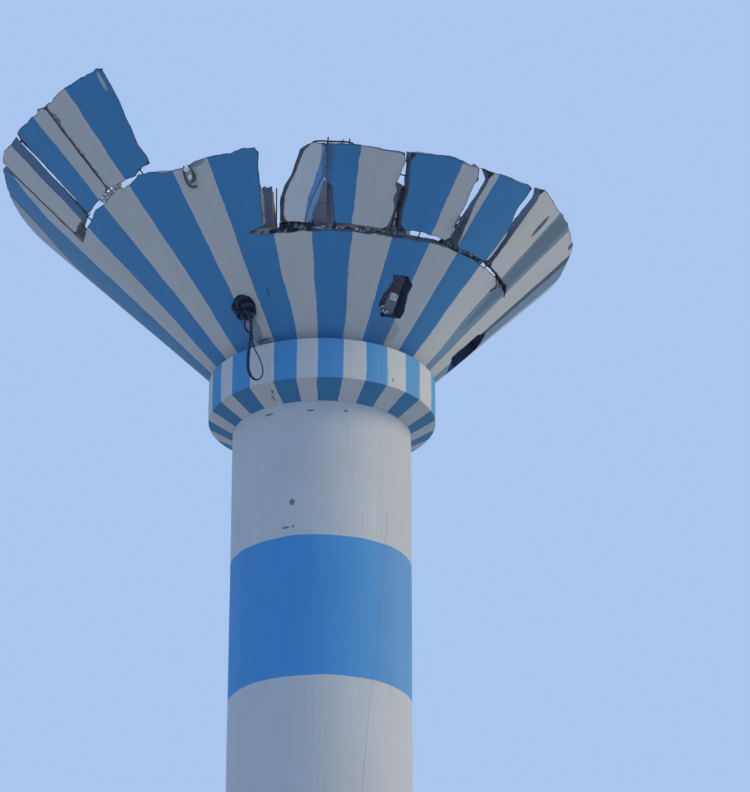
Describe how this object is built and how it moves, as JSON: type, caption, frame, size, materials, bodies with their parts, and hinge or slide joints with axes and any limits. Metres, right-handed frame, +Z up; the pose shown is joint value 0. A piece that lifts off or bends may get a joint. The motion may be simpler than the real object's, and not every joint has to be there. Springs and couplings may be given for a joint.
{
  "type": "concrete water tower",
  "caption": "Round concrete shaft with a ring beam and a broken, sawn cone tank painted in stripes, open at the top.",
  "frame": {"origin": "on the shaft's axis, at ground level", "axes": "+Z up; -Y towards the doorway and the front of the picture; +X to the right"},
  "size_m": [7.8421, 7.5272, 23.2133],
  "materials": {
    "shaft_paint": "matte",
    "ring_paint": "matte",
    "cone_paint": "matte",
    "raw_concrete": "matte",
    "door_paint": "satin",
    "rusty_bars": "matte",
    "strap": "matte"
  },
  "bodies": {
    "root": {"shaft_wall_1": "shaft_paint", "shaft_wall_2": "shaft_paint", "shaft_wall_3": "shaft_paint", "shaft_wall_4": "shaft_paint", "shaft_wall_5": "shaft_paint", "shaft_wall_6": "shaft_paint", "shaft_wall_7": "shaft_paint", "shaft_wall_8": "shaft_paint", "ground_floor": "raw_concrete", "door_frame": "door_paint", "door_leaf": "door_paint", "support_ring": "ring_paint", "inner_tube_1": "raw_concrete", "inner_tube_2": "raw_concrete", "inner_tube_3": "raw_concrete", "inner_tube_4": "raw_concrete", "cone_front_1": "cone_paint", "cone_front_2": "cone_paint", "cone_front_3": "cone_paint", "cone_left_1": "cone_paint", "cone_left_2": "cone_paint", "cone_tall_3": "cone_paint", "cone_tall_2": "cone_paint", "cone_tall_1": "cone_paint", "cone_back_1": "cone_paint", "cone_back_2": "cone_paint", "cone_back_3": "cone_paint", "cone_back_4": "cone_paint", "panel_1": "cone_paint", "panel_2": "cone_paint", "panel_3": "cone_paint", "rubble_wedge": "raw_concrete", "loose_panel": "cone_paint", "rim_panel_1": "cone_paint", "rim_panel_2": "cone_paint", "rim_panel_3": "cone_paint", "front_rebar": "rusty_bars", "upper_rebar": "rusty_bars", "sling_knot": "strap", "sling": "strap"}
  },
  "joints": []
}
